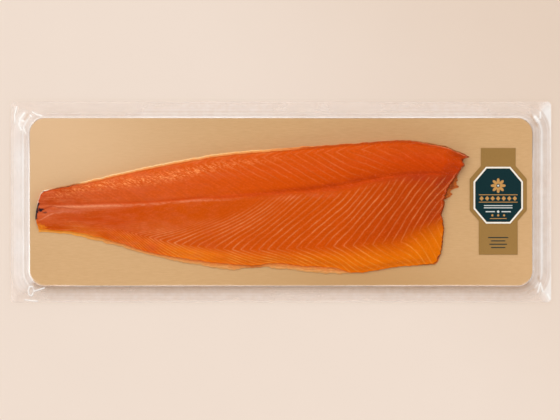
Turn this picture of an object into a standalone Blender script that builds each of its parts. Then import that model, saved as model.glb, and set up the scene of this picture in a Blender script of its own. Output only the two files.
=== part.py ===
# Vacuum pack of smoked salmon: a whole side of salmon on a gold card board, in a clear sealed bag.
# Units are metres. The board's middle is over the origin, +X runs from the fish's tail to its head end,
# +Y from its belly to its back, and the bag's flat underside lies on Z = 0.
import math

import bmesh
import bpy

MM = 0.001
GAP = 0.3 * MM

BOARD_LENGTH = 600 * MM
BOARD_WIDTH = 200 * MM
BOARD_THICKNESS = 1.5 * MM
BOARD_CORNER = 18 * MM
BOARD_CORNER_SEGMENTS = 8

# The vacuum pulls the board's rim up all round, and leaves its middle flat.
RIM_LIFT = 3 * MM
LIFT_REACH = 60 * MM
LIFT_STEPS = 5

BAG_LENGTH = 646 * MM
BAG_WIDTH = 240 * MM
BAG_CORNER = 5 * MM
BAG_SHEET = 0.4 * MM
FLANGE_THICKNESS = 0.8 * MM
FLANGE_HEIGHT = 1.4 * MM
FLANGE_WAVE = 0.5 * MM
WAVE_SPACING = (38 * MM, 27 * MM)
CORNER_PLEAT = 0.5 * MM
SHARPEST_CORNER = 3 * MM
WELD_OFFSET = 10 * MM
MARGIN_BEND = 0.75
SLOPE_FOOT = 4.5 * MM
RIM_WALL = 1.2 * MM
LONG_EDGE_SPANS = 20
SHORT_EDGE_SPANS = 8
CORNER_SPANS = 8

SKIN_THICKNESS = 0.8 * MM
SKIN_LIP = 1.2 * MM
SKIN_COLUMNS = 46
# A scrap of skin stands out of the head end: how far, and its middle and width as shares across.
SCRAP_LENGTH = 6 * MM
SCRAP_MIDDLE = -0.16
SCRAP_WIDTH = 0.09
# Two tongues of membrane stand out of the belly: how far, and their middle and width along the fish.
MEMBRANE_TONGUES = [(5.5 * MM, 50 * MM, 26 * MM), (2 * MM, -68 * MM, 22 * MM)]

# The fish in plan, in millimetres from the board's middle, from the tail to the head end.
BACK_EDGE = [(-282, 14), (-261, 19), (-235, 24.5), (-191, 35), (-133, 47), (-68, 58), (2, 64),
             (59, 68), (119, 73), (146, 74.5), (174, 70.5), (201, 63.5), (224, 54)]
MIDLINE = [(-291, -5), (-246, -5), (-177, -3), (-104, 1), (-66, 6), (-13, 8.5), (25, 10),
           (78, 18), (109, 24.5), (136, 29.5), (188, 32), (210, 33)]
BELLY_EDGE = [(-288, -32), (-261, -38), (-243, -40), (-206, -50), (-155, -61), (-104, -74),
              (-71, -79), (-16, -77), (36, -79), (69, -80), (98, -84), (143, -78), (183, -73.5)]
# Each cut end as (share across, x): the share is -1 at the belly, 0 on the midline and 1 at the back.
TAIL_END = [(-1, -288), (-0.8, -291), (-0.5, -292), (0, -291), (0.4, -289), (0.8, -286), (1, -282)]
HEAD_END = [(-1, 183), (-0.95, 187), (-0.82, 192), (-0.6, 194.5), (-0.45, 192.5), (-0.3, 194.5),
            (-0.2, 198), (-0.12, 202.5), (0, 210), (0.25, 214), (0.5, 218), (0.85, 217.5), (1, 224)]

# Flesh thickness in millimetres along the fish, and its share of that across the fish.
THICKNESS_ALONG = [(0, 8), (0.15, 11), (0.4, 17), (0.7, 22), (0.9, 23.5), (1, 22)]
THICKNESS_ACROSS = [(-1, 0.17), (-0.85, 0.29), (-0.7, 0.38), (-0.4, 0.6), (-0.1, 0.81), (0, 0.82),
                    (0.06, 0.8), (0.15, 0.88), (0.45, 1), (0.8, 0.93), (0.93, 0.82), (1, 0.6)]
LEAST_THICKNESS = 2.4 * MM
# The back curls up off the board past this share across the fish, by this share of the thickness.
CURL_START = 0.82
CURL_SHARE = 0.33

# Flakes of muscle run across the fish in a W: the list gives how far, in millimetres, a flake's line
# leans towards the tail at each share across. The lean grows from nothing over the first stretch from
# the tail, and fades out over the last stretch before the head end.
FLAKE_LEAN = [(-1, 15), (-0.71, 60), (0, 0), (0.82, 48), (1, 33)]
LEAN_GROWTH = 0.5
LEAN_FADE = 0.12
FLAKES = 50
FLAKE_CROWDING = 1.25
FLAKE_RELIEF = 0.4 * MM
FLESH_ROWS = [-1, -0.96, -0.9, -0.81, -0.71, -0.6, -0.45, -0.3, -0.15, 0, 0.06, 0.18, 0.38, 0.6,
              0.82, 0.93, 1]
# The skin's first row is the lip at the belly, and its last two are the foot and top of the back wall.
SKIN_ROWS = [-1, -1, -0.81, -0.6, -0.3, -0.22, -0.14, -0.06, 0, 0.38, 0.6, 0.82, 0.93, 1, 1, 1]

LABEL_X = 259.5 * MM
LABEL_SHEET = 0.3 * MM
LABEL_CUT = 9 * MM
BACKING_HALF_WIDTH = 34 * MM
BACKING_SIDE = (-10 * MM, 27.5 * MM)
BACKING_NECK = (-22.7 * MM, 43 * MM)
TOP_TAB_HALF_WIDTH = 20.7 * MM
TOP_TAB_END = 64.4 * MM
BOTTOM_TAB_HALF_WIDTH = 23.1 * MM
BOTTOM_TAB_END = -62.9 * MM
BADGE_Y = 8.1 * MM
BADGE_HALF_WIDTH = 29.4 * MM
BADGE_HALF_HEIGHT = 33.9 * MM
BADGE_FLAT = 14.5 * MM
BADGE_SIDE = 16.3 * MM
BADGE_BORDER = 1.9 * MM

# Heights of what is stacked over the middle of the pack.
BOARD_BOTTOM = BAG_SHEET + GAP
BOARD_TOP = BOARD_BOTTOM + BOARD_THICKNESS
SKIN_BOTTOM = BOARD_TOP + GAP
FLESH_BOTTOM = SKIN_BOTTOM + SKIN_THICKNESS + GAP


def clear_scene():
    for obj in list(bpy.data.objects):
        bpy.data.objects.remove(obj, do_unlink=True)


def through(points, x):
    """The height at x of a smooth curve through the points, which are in order of x."""
    x = min(max(x, points[0][0]), points[-1][0])
    last = len(points) - 1
    span = next(i for i in range(last) if x <= points[i + 1][0])

    def slope(i):
        before, after = points[max(i - 1, 0)], points[min(i + 1, last)]
        return (after[1] - before[1]) / (after[0] - before[0])

    (x0, y0), (x1, y1) = points[span], points[span + 1]
    width = x1 - x0
    t = (x - x0) / width
    return (
        y0 * (1 + 2 * t) * (1 - t) ** 2
        + y1 * t * t * (3 - 2 * t)
        + width * slope(span) * t * (1 - t) ** 2
        - width * slope(span + 1) * t * t * (1 - t)
    )


def straight(points, x):
    """As through, but with straight runs between the points."""
    x = min(max(x, points[0][0]), points[-1][0])
    span = next(i for i in range(len(points) - 1) if x <= points[i + 1][0])
    (x0, y0), (x1, y1) = points[span], points[span + 1]
    return y0 + (y1 - y0) * (x - x0) / (x1 - x0)


def smooth(share):
    """0 below 0, 1 above 1, and a smooth rise between them."""
    share = min(max(share, 0), 1)
    return share * share * (3 - 2 * share)


def hump(x, middle, width):
    """A smooth hump, 1 high at its middle and nearly gone at twice its width from there."""
    return math.exp(-(((x - middle) / width) ** 2))


def rim_lift(x, y):
    """How far the board is pulled up off the table at this place."""
    lift = 0
    for inset in (BOARD_LENGTH / 2 - abs(x), BOARD_WIDTH / 2 - abs(y)):
        share = min(max(1 - inset / LIFT_REACH, 0), 1)
        lift += RIM_LIFT * share * share
    return lift


def finish(name, bm, material, smooth_angle=None):
    """Makes the bmesh a named object of the pack."""
    bmesh.ops.recalc_face_normals(bm, faces=bm.faces)
    mesh = bpy.data.meshes.new(name)
    bm.to_mesh(mesh)
    bm.free()
    obj = bpy.data.objects.new(name, mesh)
    pack.objects.link(obj)
    mesh.materials.append(material)
    if smooth_angle is not None:
        mesh.shade_smooth()
        mesh.set_sharp_from_angle(angle=math.radians(smooth_angle))


def make_material(name, colour, roughness, metallic=0.0, alpha=1.0):
    material = bpy.data.materials.new(name)
    material.use_nodes = True
    shader = material.node_tree.nodes["Principled BSDF"]
    shader.inputs["Base Color"].default_value = (*colour, 1)
    shader.inputs["Roughness"].default_value = roughness
    shader.inputs["Metallic"].default_value = metallic
    shader.inputs["Alpha"].default_value = alpha
    return material


def bend_over_board(bm, x_cuts, y_cuts):
    """Cuts a flat piece along these lines and lifts it with the board."""
    for axis, cuts in ((0, x_cuts), (1, y_cuts)):
        for place in cuts:
            point, normal = [0, 0, 0], [0, 0, 0]
            point[axis], normal[axis] = place, 1
            everything = bm.verts[:] + bm.edges[:] + bm.faces[:]
            bmesh.ops.bisect_plane(bm, geom=everything, plane_co=point, plane_no=normal, dist=1e-7)
    for vert in bm.verts:
        vert.co.z += rim_lift(vert.co.x, vert.co.y)


def lift_cuts(half_size):
    """Cutting places along one axis of the board, over the stretch where it bends."""
    places = [half_size - LIFT_REACH * step / LIFT_STEPS for step in range(1, LIFT_STEPS + 1)]
    return [-p for p in places] + places


def build_board():
    bm = bmesh.new()
    bmesh.ops.create_cube(bm, size=1)
    for vert in bm.verts:
        vert.co.x *= BOARD_LENGTH
        vert.co.y *= BOARD_WIDTH
        vert.co.z = BOARD_BOTTOM if vert.co.z < 0 else BOARD_TOP
    upright = [e for e in bm.edges if abs(e.verts[0].co.z - e.verts[1].co.z) > BOARD_THICKNESS / 2]
    bmesh.ops.bevel(
        bm, geom=upright, offset=BOARD_CORNER, segments=BOARD_CORNER_SEGMENTS, profile=0.5,
        affect="EDGES",
    )
    bend_over_board(bm, lift_cuts(BOARD_LENGTH / 2), lift_cuts(BOARD_WIDTH / 2))
    finish("board", bm, gold_card, smooth_angle=40)


def rounded_rectangle(half_length, half_width, radius):
    """Points round a rounded rectangle, anticlockwise, with a fixed number on each side and corner."""
    sides = ((1, 1, 0), (-1, 1, 90), (-1, -1, 180), (1, -1, 270))
    spans = (LONG_EDGE_SPANS, SHORT_EDGE_SPANS, LONG_EDGE_SPANS, SHORT_EDGE_SPANS)
    arcs = []
    for sign_x, sign_y, start in sides:
        centre = (sign_x * (half_length - radius), sign_y * (half_width - radius))
        arc = []
        for step in range(CORNER_SPANS + 1):
            angle = math.radians(start + 90 * step / CORNER_SPANS)
            arc.append((centre[0] + radius * math.cos(angle), centre[1] + radius * math.sin(angle)))
        arcs.append(arc)
    points = []
    for side, arc in enumerate(arcs):
        points += arc
        (x0, y0), (x1, y1) = arc[-1], arcs[(side + 1) % 4][0]
        for step in range(1, spans[side]):
            share = step / spans[side]
            points.append((x0 + (x1 - x0) * share, y0 + (y1 - y0) * share))
    return points


def in_corner(index):
    """The step round its corner of this point of a rounded rectangle, or None on a straight side."""
    for spans in (LONG_EDGE_SPANS, SHORT_EDGE_SPANS, LONG_EDGE_SPANS, SHORT_EDGE_SPANS):
        if index <= CORNER_SPANS:
            return index
        index -= CORNER_SPANS + spans
    return None


def flange_relief(index, x, y, outward):
    """Slack waves along the bag's margin, and pleats that fan out from the board's corners."""
    wave = math.sin(x / WAVE_SPACING[0]) * math.cos(y / WAVE_SPACING[1])
    relief = FLANGE_WAVE * outward * wave
    step = in_corner(index)
    if step is not None and 0 < step < CORNER_SPANS:
        relief += CORNER_PLEAT * (1 - outward) * (1 if step % 2 else -1)
    return relief


def board_ring(offset):
    """The board's outline grown by offset, or shrunk where it is negative."""
    radius = max(BOARD_CORNER + offset, SHARPEST_CORNER)
    return rounded_rectangle(BOARD_LENGTH / 2 + offset, BOARD_WIDTH / 2 + offset, radius)


def margin_ring(share):
    """A ring between the slope's foot, at 0, and the bag's outer edge, at 1."""
    foot = board_ring(SLOPE_FOOT)
    rim = rounded_rectangle(BAG_LENGTH / 2, BAG_WIDTH / 2, BAG_CORNER)
    return [
        (a[0] + (b[0] - a[0]) * share, a[1] + (b[1] - a[1]) * share)
        for a, b in zip(foot, rim, strict=True)
    ]


def flange_height(x, y, share):
    """The middle of the bag's margin, which droops from the lifted board to its outer edge."""
    inner = rim_lift(x, y) + BOARD_BOTTOM
    return inner + (FLANGE_HEIGHT - inner) * share * (2 - share)


def bag_rings():
    """The bag's solid as rings, from under the board out over its top side, and back in underneath."""
    weld = WELD_OFFSET / (BAG_LENGTH / 2 - BOARD_LENGTH / 2)
    upper, lower = [], []
    for share in (1, MARGIN_BEND, weld, 0):
        for rings, side in ((upper, 0.5), (lower, -0.5)):
            rings.append([
                (x, y, flange_height(x, y, share) + side * FLANGE_THICKNESS
                 + flange_relief(index, x, y, share))
                for index, (x, y) in enumerate(margin_ring(share))
            ])
    crest = BOARD_TOP + GAP / 2
    for offset, height in ((GAP + RIM_WALL, crest), (GAP, crest), (GAP, BAG_SHEET)):
        upper.append([(x, y, rim_lift(x, y) + height) for x, y in board_ring(offset)])
    for step in range(1, LIFT_STEPS + 1):
        inset = LIFT_REACH * step / LIFT_STEPS
        upper.append([(x, y, rim_lift(x, y) + BAG_SHEET) for x, y in board_ring(-inset)])
        lower.append([(x, y, rim_lift(x, y)) for x, y in board_ring(-inset)])
    return upper[::-1] + lower


def build_bag():
    bm = bmesh.new()
    rings = [[bm.verts.new(point) for point in ring] for ring in bag_rings()]
    for inner, outer in zip(rings, rings[1:], strict=False):
        for i in range(len(inner)):
            j = (i + 1) % len(inner)
            bm.faces.new((inner[i], inner[j], outer[j], outer[i]))
    bm.faces.new(rings[0])
    bm.faces.new(rings[-1])
    finish("bag", bm, clear_film, smooth_angle=50)


def plan_place(along, across):
    """Where a share along the fish (0 tail, 1 head end) and a share across it lie on the board."""
    tail, head = through(TAIL_END, across), through(HEAD_END, across)
    x = tail + (head - tail) * along
    edge, edge_share = (BACK_EDGE, 1) if across > 0 else (BELLY_EDGE, -1)
    midline_x = through(TAIL_END, 0) + (through(HEAD_END, 0) - through(TAIL_END, 0)) * along
    edge_x = through(TAIL_END, edge_share)
    edge_x += (through(HEAD_END, edge_share) - edge_x) * along
    inner, outer = through(MIDLINE, midline_x), through(edge, edge_x)
    return x * MM, (inner + (outer - inner) * abs(across)) * MM


def local_thickness(along):
    return through(THICKNESS_ALONG, along) * MM


def curl(along, across):
    """How far the fish's underside has risen, where its back rounds up off the board."""
    share = max(0, (across - CURL_START) / (1 - CURL_START))
    return CURL_SHARE * local_thickness(along) * share * share


def flesh_top(along, across):
    """The top of the flesh above its own underside at the middle of the fish."""
    return max(local_thickness(along) * through(THICKNESS_ACROSS, across), LEAST_THICKNESS)


def leaned(along, across):
    """The share along at which a flake that starts at this share crosses this line of the fish."""
    fade = smooth(along / LEAN_GROWTH) * smooth((1 - along) / LEAN_FADE)
    length = HEAD_END[-1][1] - TAIL_END[-1][1]
    return along - fade * straight(FLAKE_LEAN, across) / length


def sheet_solid(columns, rows, place):
    """A closed solid between an upper and a lower skin, each a grid of columns and rows."""
    bm = bmesh.new()
    bmesh.ops.create_grid(bm, x_segments=columns, y_segments=rows, size=1)
    bmesh.ops.extrude_face_region(bm, geom=bm.faces[:])
    bm.verts.ensure_lookup_table()
    half = len(bm.verts) // 2
    spots = []
    for vert in bm.verts:
        column = round((vert.co.x + 1) / 2 * columns)
        row = round((vert.co.y + 1) / 2 * rows)
        spots.append((vert, column, row, vert.index >= half))
    for vert, column, row, upper in spots:
        vert.co = place(column, row, upper)
    return bm


def flesh_place(column, row, upper):
    across = FLESH_ROWS[row]
    along = leaned((column / (2 * FLAKES)) ** FLAKE_CROWDING, across)
    x, y = plan_place(along, across)
    base = FLESH_BOTTOM + rim_lift(x, y)
    if not upper:
        return x, y, base + curl(along, across)
    at_edge = row in (0, len(FLESH_ROWS) - 1) or column in (0, 2 * FLAKES)
    relief = 0 if at_edge else FLAKE_RELIEF * smooth(along / LEAN_GROWTH)
    return x, y, base + flesh_top(along, across) + (relief if column % 2 else -relief)


def skin_place(column, row, upper):
    """Skin under the flesh, a lip wider at the belly and both ends, with a wall up against the back."""
    along, across = column / SKIN_COLUMNS, SKIN_ROWS[row]
    x, y = plan_place(along, across)
    wall_top = len(SKIN_ROWS) - 1
    if column == 0:
        x -= SKIN_LIP
    if column == SKIN_COLUMNS:
        x += SKIN_LIP + SCRAP_LENGTH * hump(across, SCRAP_MIDDLE, SCRAP_WIDTH)
    if row == 0:
        y -= SKIN_LIP + sum(reach * hump(x, middle, width) for reach, middle, width in MEMBRANE_TONGUES)
    if row >= wall_top - 1:
        y += GAP if upper else GAP + SKIN_THICKNESS
    if row == wall_top:
        return x, y, FLESH_BOTTOM + rim_lift(x, y) + flesh_top(along, 1) - SKIN_THICKNESS
    return x, y, SKIN_BOTTOM + rim_lift(x, y) + curl(along, across) + (SKIN_THICKNESS if upper else 0)


def build_salmon():
    flesh = sheet_solid(2 * FLAKES, len(FLESH_ROWS) - 1, flesh_place)
    finish("salmon_flesh", flesh, salmon_flesh, smooth_angle=60)
    skin = sheet_solid(SKIN_COLUMNS, len(SKIN_ROWS) - 1, skin_place)
    finish("salmon_skin", skin, salmon_skin, smooth_angle=60)


def mirrored(half_outline):
    """A closed outline from its right half, listed from the bottom up."""
    left = [(-x, y) for x, y in reversed(half_outline)]
    return [(LABEL_X + x, y) for x, y in half_outline + left]


def octagon(shrink):
    """The badge's outline, drawn in by shrink on every side."""
    slant = shrink * math.tan(math.radians(22.5))
    half_width, half_height = BADGE_HALF_WIDTH - shrink, BADGE_HALF_HEIGHT - shrink
    flat, side = BADGE_FLAT - slant, BADGE_SIDE - slant
    half = [(flat, -half_height), (half_width, -side), (half_width, side), (flat, half_height)]
    return mirrored([(x, y + BADGE_Y) for x, y in half])


def backing_outline():
    side_low, side_high = BACKING_SIDE
    neck_low, neck_high = BACKING_NECK
    return mirrored([
        (BOTTOM_TAB_HALF_WIDTH, BOTTOM_TAB_END),
        (BOTTOM_TAB_HALF_WIDTH, neck_low),
        (BACKING_HALF_WIDTH, side_low),
        (BACKING_HALF_WIDTH, side_high),
        (TOP_TAB_HALF_WIDTH, neck_high),
        (TOP_TAB_HALF_WIDTH, TOP_TAB_END),
    ])


def label_sheet(name, outline, bottom, material, hole=None):
    """A thin sheet of this outline, with an optional hole, laid over the lifted board."""
    bm = bmesh.new()
    edge = [bm.verts.new((x, y, bottom)) for x, y in outline]
    if hole is None:
        bm.faces.new(edge)
    else:
        inner = [bm.verts.new((x, y, bottom)) for x, y in hole]
        for i in range(len(edge)):
            j = (i + 1) % len(edge)
            bm.faces.new((edge[i], edge[j], inner[j], inner[i]))
    top = bmesh.ops.extrude_face_region(bm, geom=bm.faces[:])["geom"]
    for vert in (item for item in top if isinstance(item, bmesh.types.BMVert)):
        vert.co.z += LABEL_SHEET
    first, last = LABEL_X - BACKING_HALF_WIDTH, LABEL_X + BACKING_HALF_WIDTH
    x_cuts = [first + LABEL_CUT * step for step in range(1, int((last - first) / LABEL_CUT) + 1)]
    y_cuts = [y for y in lift_cuts(BOARD_WIDTH / 2) if BOTTOM_TAB_END < y < TOP_TAB_END]
    bend_over_board(bm, x_cuts, y_cuts)
    finish(name, bm, material)


def build_label():
    low = BOARD_TOP + GAP
    high = low + LABEL_SHEET + GAP
    label_sheet("label_backing", backing_outline(), low, label_bronze)
    label_sheet("label_border", octagon(0), high, label_cream, hole=octagon(BADGE_BORDER))
    label_sheet("label_field", octagon(BADGE_BORDER + GAP), high, label_green)


clear_scene()
pack = bpy.data.collections.new("smoked_salmon_pack")
bpy.context.scene.collection.children.link(pack)

gold_card = make_material("gold_card", (0.66, 0.44, 0.22), 0.42, metallic=0.6)
clear_film = make_material("clear_film", (0.93, 0.91, 0.89), 0.12, alpha=0.35)
salmon_flesh = make_material("salmon_flesh", (0.68, 0.1, 0.012), 0.35)
salmon_skin = make_material("salmon_skin", (0.42, 0.26, 0.12), 0.4)
label_bronze = make_material("label_bronze", (0.36, 0.2, 0.065), 0.45, metallic=0.3)
label_cream = make_material("label_cream", (0.87, 0.83, 0.75), 0.5)
label_green = make_material("label_green", (0.008, 0.035, 0.04), 0.5)

build_board()
build_bag()
build_salmon()
build_label()
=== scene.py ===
import math

import bpy
import numpy as np
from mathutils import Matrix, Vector
from mathutils.bvhtree import BVHTree


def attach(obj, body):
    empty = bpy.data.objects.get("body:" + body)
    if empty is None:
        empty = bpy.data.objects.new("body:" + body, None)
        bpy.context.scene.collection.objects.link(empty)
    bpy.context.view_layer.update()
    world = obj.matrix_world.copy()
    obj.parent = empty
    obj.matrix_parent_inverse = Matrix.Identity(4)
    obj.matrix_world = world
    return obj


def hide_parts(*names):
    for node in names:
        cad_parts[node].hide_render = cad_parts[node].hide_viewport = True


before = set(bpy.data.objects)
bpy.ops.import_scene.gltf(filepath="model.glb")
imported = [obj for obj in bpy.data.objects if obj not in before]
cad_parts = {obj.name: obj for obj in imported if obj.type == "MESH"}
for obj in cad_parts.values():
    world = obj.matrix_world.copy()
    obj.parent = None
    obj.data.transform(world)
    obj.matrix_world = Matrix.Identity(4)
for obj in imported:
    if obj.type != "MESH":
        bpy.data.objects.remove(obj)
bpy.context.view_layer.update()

mm = 0.001
print("frame loaded")


# shapes, worked out in millimetres

def smooth(low, high, value):  # 0 up to low, 1 from high on, a soft rise between
    share = np.clip((value - low) / (high - low), 0, 1)
    return share * share * (3 - 2 * share)


def hump(value, middle, width):
    return np.exp(-((value - middle) / width) ** 2)


def curveAt(points, value):  # a smooth curve through the points, level beyond its ends
    px, py = np.array(points, float).T
    value = np.clip(value, px[0], px[-1])
    slope = np.empty(len(px))
    slope[1:-1] = (py[2:] - py[:-2]) / (px[2:] - px[:-2])
    slope[0], slope[-1] = (py[1] - py[0]) / (px[1] - px[0]), (py[-1] - py[-2]) / (px[-1] - px[-2])
    i = np.clip(np.searchsorted(px, value) - 1, 0, len(px) - 2)
    width = px[i + 1] - px[i]
    t = (value - px[i]) / width
    return (py[i] * (1 + 2 * t) * (1 - t) ** 2 + py[i + 1] * t * t * (3 - 2 * t)
            + width * slope[i] * t * (1 - t) ** 2 - width * slope[i + 1] * t * t * (1 - t))


def wander(x, y, seed):  # soft noise from -1 to 1, one swing for each unit of x and y
    table = np.random.default_rng(seed).uniform(-1, 1, (128, 128))
    i, j = np.floor(x).astype(int), np.floor(y).astype(int)
    f, g = smooth(0, 1, x - i), smooth(0, 1, y - j)
    i, j = i % 128, j % 128
    k, m = (i + 1) % 128, (j + 1) % 128
    return (table[i, j] * (1 - f) * (1 - g) + table[k, j] * f * (1 - g)
            + table[i, m] * (1 - f) * g + table[k, m] * f * g)


# making and finishing pieces

def deselectAll():
    if bpy.context.mode != "OBJECT":
        bpy.ops.object.mode_set(mode="OBJECT")
    bpy.ops.object.select_all(action="DESELECT")


def pick(piece):
    deselectAll()
    piece.select_set(True)
    bpy.context.view_layer.objects.active = piece


def addFlatGrid(name, columns, rows):
    deselectAll()
    bpy.ops.mesh.primitive_grid_add(x_subdivisions=columns, y_subdivisions=rows, size=2)
    piece = bpy.context.object
    piece.name = piece.data.name = name
    return piece


def drawUnder(rings):  # draws the grid's rim down ring by ring and closes it: each ring lies 1 lower
    bpy.ops.object.mode_set(mode="EDIT")
    bpy.ops.mesh.select_mode(type="EDGE")
    bpy.ops.mesh.select_all(action="DESELECT")
    bpy.ops.mesh.select_non_manifold()
    for ring in range(rings):
        bpy.ops.mesh.extrude_region_move(TRANSFORM_OT_translate={"value": (0, 0, -1)})
    bpy.ops.mesh.edge_face_add()
    bpy.ops.object.mode_set(mode="OBJECT")


def corners(piece):
    spots = np.empty(len(piece.data.vertices) * 3)
    piece.data.vertices.foreach_get("co", spots)
    return spots.reshape(-1, 3).T


def setCorners(piece, x, y, z):  # takes millimetres
    piece.data.vertices.foreach_set("co", (np.stack([x, y, z], axis=1) * mm).ravel())
    piece.data.update()


def addField(piece, name, values):  # a number at each corner of the mesh, for the material to read
    layer = piece.data.attributes.new(name, "FLOAT", "POINT")
    layer.data.foreach_set("value", np.asarray(values, np.float32))


def setMap(piece, u, v):
    ends = np.empty(len(piece.data.loops), int)
    piece.data.loops.foreach_get("vertex_index", ends)
    piece.data.uv_layers[0].data.foreach_set("uv", np.stack([u[ends], v[ends]], axis=1).ravel())


def turnOutward():  # turns all faces outward and leaves edit mode
    bpy.ops.mesh.select_all(action="SELECT")
    bpy.ops.mesh.normals_make_consistent(inside=False)
    bpy.ops.object.mode_set(mode="OBJECT")


def closeUp(piece, angle):  # faces outward, soft shading up to this angle
    pick(piece)
    bpy.ops.object.mode_set(mode="EDIT")
    turnOutward()
    bpy.ops.object.shade_smooth_by_angle(angle=math.radians(angle))


def dress(piece, material, replaced=None):
    piece.data.materials.clear()
    piece.data.materials.append(material)
    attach(piece, "root")
    if replaced:
        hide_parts(replaced)


# making materials

work = {"tree": None}  # the node tree that new nodes go into


class wire:  # a node's output: sums and products with it are Math nodes
    def __init__(self, socket):
        self.socket = socket

    def __add__(self, other):
        return maths("ADD", self, other)

    def __sub__(self, other):
        return maths("SUBTRACT", self, other)

    def __rsub__(self, other):
        return maths("SUBTRACT", other, self)

    def __mul__(self, other):
        return maths("MULTIPLY", self, other)

    def __truediv__(self, other):
        return maths("DIVIDE", self, other)

    __radd__, __rmul__ = __add__, __mul__


def shade(red, green, blue):  # a colour as a screen shows it, 0 to 255
    return tuple(((c / 255 + 0.055) / 1.055) ** 2.4 if c > 10 else c / 3294.6 for c in (red, green, blue))


def feed(socket, value):
    if isinstance(value, wire):
        work["tree"].links.new(value.socket, socket)
    elif socket.type == "RGBA":
        socket.default_value = (*value, 1)
    else:
        socket.default_value = value


def addNode(kind, inputs=(), **settings):
    node = work["tree"].nodes.new("ShaderNode" + kind)
    for name, value in settings.items():
        setattr(node, name, value)
    for name, value in dict(inputs).items():
        feed(node.inputs[name], value)
    return node


def result(kind, inputs=(), output=0, **settings):
    return wire(addNode(kind, inputs, **settings).outputs[output])


def maths(operation, *values, clamp=False):
    return result("Math", enumerate(values), operation=operation, use_clamp=clamp)


def rise(value, low, high):  # 0 at low, 1 at high, a soft rise between; low may be the greater
    inputs = {"Value": value, "From Min": low, "From Max": high}
    return result("MapRange", inputs, interpolation_type="SMOOTHSTEP")


def bell(value, middle, width):
    away = (value - middle) / width
    return maths("EXPONENT", away * away * -1.0)


def blendColour(share, first, second, mode="MIX"):
    return result("Mix", {0: share, 6: first, 7: second}, 2, data_type="RGBA", blend_type=mode)


def dimmed(colour, share):
    return blendColour(1.0, colour, share, "MULTIPLY")


def layered(look, colour, *layers):  # lays the look's colours over a colour, one after another
    for name, share in layers:
        colour = blendColour(share, colour, shade(*look[name]))
    return colour


def colourRamp(value, stops):
    node = addNode("ValToRGB", {"Fac": value})
    marks = node.color_ramp.elements
    marks[0].position, marks[0].color = stops[0][0], (*shade(*stops[0][1]), 1)
    marks[-1].position, marks[-1].color = stops[-1][0], (*shade(*stops[-1][1]), 1)
    for place, colour in stops[1:-1]:
        marks.new(place).color = (*shade(*colour), 1)
    return wire(node.outputs[0])


def field(name):
    return result("Attribute", output="Fac", attribute_name=name)


def split(vector):
    return [wire(part) for part in addNode("SeparateXYZ", {"Vector": vector}).outputs]


def fishMap():  # shares along and across the fish
    return split(result("UVMap", uv_map="UVMap"))[:2]


def newMaterial(name, **plain):  # plain holds what is the same all over the surface
    material = bpy.data.materials.new(name)
    material.use_nodes = True
    work["tree"] = material.node_tree
    inputs = material.node_tree.nodes["Principled BSDF"].inputs
    for label, value in plain.items():
        feed(inputs[label.replace("_", " ")], value)
    return material, inputs


def setBump(inputs, height, strength, distance):
    bump = result("Bump", {"Height": height, "Strength": strength, "Distance": distance * mm})
    feed(inputs["Normal"], bump)


def setSurface(inputs, colour, roughness, height, strength, distance):
    feed(inputs["Base Color"], colour)
    feed(inputs["Roughness"], roughness)
    setBump(inputs, height, strength, distance)


def makeMottle():  # soft blotches of a size in millimetres, drawn out along X, Y or Z by the stretch
    group = bpy.data.node_groups.new("mottle", "ShaderNodeTree")
    for name, kind in (("Place", "NodeSocketVector"), ("Size", "NodeSocketFloat"),
                       ("Stretch", "NodeSocketVector"), ("Detail", "NodeSocketFloat")):
        group.interface.new_socket(name, in_out="INPUT", socket_type=kind)
    group.interface.new_socket("Value", in_out="OUTPUT", socket_type="NodeSocketFloat")
    work["tree"] = group
    start, end = group.nodes.new("NodeGroupInput"), group.nodes.new("NodeGroupOutput")
    place, size, stretch, detail = [wire(part) for part in start.outputs][:4]
    squeezed = result("VectorMath", {0: place, 1: stretch}, operation="DIVIDE")
    inputs = {"Vector": squeezed, "Scale": maths("DIVIDE", 1 / mm, size), "Detail": detail, "Roughness": 0.55}
    feed(end.inputs["Value"], result("TexNoise", inputs, "Fac"))
    return group


mottleGroup = makeMottle()


def mottle(size, stretch=(1, 1, 1), detail=2.0):
    place = result("TexCoord", output="Object")
    inputs = {"Place": place, "Size": size, "Stretch": stretch, "Detail": detail}
    return result("Group", inputs, "Value", node_tree=mottleGroup)


# the board and the pack's outline, as the solids have them

pack = {"boardLength": 600, "boardWidth": 200, "boardCorner": 18, "boardBottom": 0.7, "boardTop": 2.2,
        "rimLift": 3, "liftReach": 60, "bagLength": 646, "bagWidth": 240, "bagCorner": 5,
        "marginEdge": 1.4, "slopeFoot": 4.5}


def rimLift(x, y):  # how far the vacuum has pulled the board's rim up
    lift = 0
    for half, place in ((pack["boardLength"] / 2, x), (pack["boardWidth"] / 2, y)):
        lift = lift + pack["rimLift"] * np.clip(1 - (half - np.abs(place)) / pack["liftReach"], 0, 1) ** 2
    return lift


# camera, floor and light

studio = {"lens": 200, "viewWidth": 669.2, "aim": (-1.2, -9.6),
          "floor": (237, 221, 208), "floorFarShaded": (227, 207, 190),
          "sunFrom": (-0.2, 0.42, 0.885), "sunWidth": 60, "sunPower": 1.61, "sunColour": (1.0, 0.985, 0.965),
          "fill": 1.02, "fillLow": (1.0, 0.98, 0.965), "fillTop": (0.07, 0.065, 0.06)}

deselectAll()
height = studio["viewWidth"] * studio["lens"] / 36 * mm
bpy.ops.object.camera_add(location=(studio["aim"][0] * mm, studio["aim"][1] * mm, height + 0.003))
camera = bpy.context.object
camera.data.lens = studio["lens"]
camera.data.clip_end = 50
bpy.context.scene.camera = camera

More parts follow.
